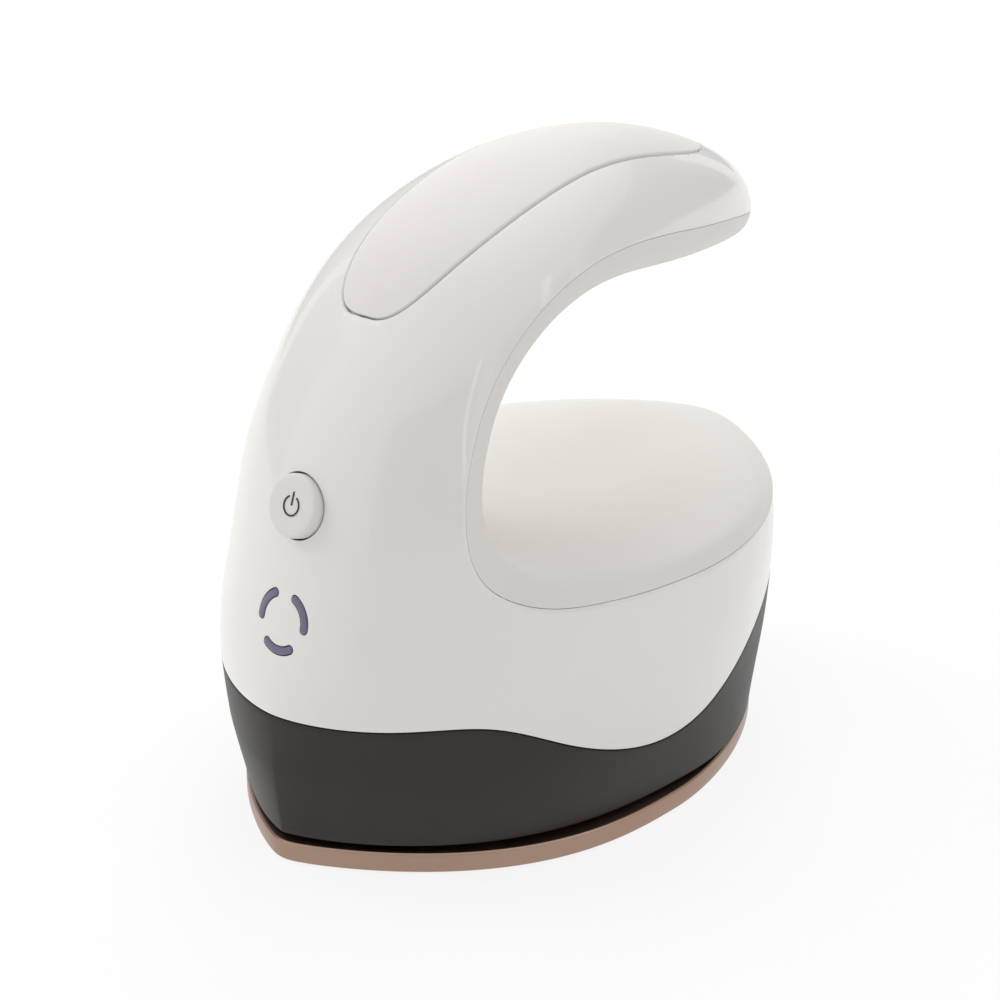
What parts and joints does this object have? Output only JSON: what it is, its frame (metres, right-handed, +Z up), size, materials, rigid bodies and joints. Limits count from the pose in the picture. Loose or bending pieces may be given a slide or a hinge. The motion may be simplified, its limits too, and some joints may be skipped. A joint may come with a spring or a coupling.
{
  "type": "mini heat press",
  "caption": "Handheld craft heat press: almond-shaped metal sole, dark base, white C-shaped body with grip pad, power button and light windows.",
  "frame": {"origin": "middle of the sole plate's flat lower face, halfway along it and on the middle plane", "axes": "+Z up from the sole, -Y towards the nose where the button is, +X to the right"},
  "size_m": [0.076, 0.1133, 0.1008],
  "materials": {
    "rose_gold_plate": "rose gold coating, satin",
    "dark_satin_plastic": "fine satin grain",
    "gloss_white_plastic": "high gloss",
    "matte_white_plastic": "satin",
    "soft_touch_pad": "soft touch",
    "violet_light_window": "translucent, smooth",
    "clear_light_guide": "clear",
    "brown_silicone": "matte",
    "mica_sheet": "matte",
    "sheet_steel": "bright",
    "black_steel": "satin",
    "board_green": "solder mask",
    "black_plastic": "satin",
    "blue_plastic": "smooth",
    "yellow_tape": "taped",
    "white_ceramic": "matte",
    "red_lead": "silicone sleeve",
    "blue_lead": "silicone sleeve",
    "grey_ribbon": "smooth"
  },
  "bodies": {
    "press_body": {"heat_plate": "rose_gold_plate", "plate_gasket": "brown_silicone", "heating_element": "sheet_steel", "element_clamp": "sheet_steel", "clamp_screw_front": "sheet_steel", "clamp_screw_rear": "sheet_steel", "thermostat": "black_plastic", "thermal_fuse": "white_ceramic", "temperature_sensor": "black_plastic", "insulation_pad": "mica_sheet", "heat_shield": "sheet_steel", "terminal_bead_left": "white_ceramic", "terminal_bead_right": "white_ceramic", "base_shell": "dark_satin_plastic", "cord_gland": "black_plastic", "cord_clamp": "black_plastic", "cord_clamp_screw_left": "sheet_steel", "cord_clamp_screw_right": "sheet_steel", "plate_screw_front_left": "sheet_steel", "plate_screw_front_right": "sheet_steel", "plate_screw_rear_left": "sheet_steel", "plate_screw_rear_right": "sheet_steel", "shell_screw_front": "sheet_steel", "shell_screw_left": "sheet_steel", "shell_screw_right": "sheet_steel", "shell_screw_rear_left": "sheet_steel", "shell_screw_rear_right": "sheet_steel", "outer_shell": "gloss_white_plastic", "inner_liner": "matte_white_plastic", "grip_pad": "soft_touch_pad", "light_window_left": "violet_light_window", "light_window_right": "violet_light_window", "light_window_bottom": "violet_light_window", "light_guide": "clear_light_guide", "indicator_led_left": "white_ceramic", "indicator_led_right": "white_ceramic", "indicator_led_bottom": "white_ceramic", "control_board": "board_green", "control_screw_low_left": "sheet_steel", "control_screw_low_right": "sheet_steel", "control_screw_high_left": "sheet_steel", "control_screw_high_right": "sheet_steel", "tact_switch": "black_steel", "power_board": "board_green", "board_screw_front_left": "sheet_steel", "board_screw_front_right": "sheet_steel", "board_screw_rear_left": "sheet_steel", "board_screw_rear_right": "sheet_steel", "relay": "blue_plastic", "transformer": "yellow_tape", "terminal_block": "board_green", "capacitor": "black_plastic", "element_lead_live": "red_lead", "element_lead_neutral": "blue_lead", "ribbon_cable": "grey_ribbon"},
    "button": {"power_button": "matte_white_plastic"},
    "plunger": {"switch_plunger": "black_plastic"}
  },
  "joints": [
    {"name": "power_button_press", "type": "slide", "parent": "press_body", "child": "button", "axis": [0, 0.9426, -0.3338], "range_m": [0, 0.0008], "stiffness_N_per_m": 1100},
    {"name": "switch_plunger_press", "type": "slide", "parent": "press_body", "child": "plunger", "axis": [0, 0.9426, -0.3338], "range_m": [0, 0.0005]}
  ],
  "couplings": [
    {"joint": "switch_plunger_press", "follows": "power_button_press", "ratio": 0.625}
  ]
}
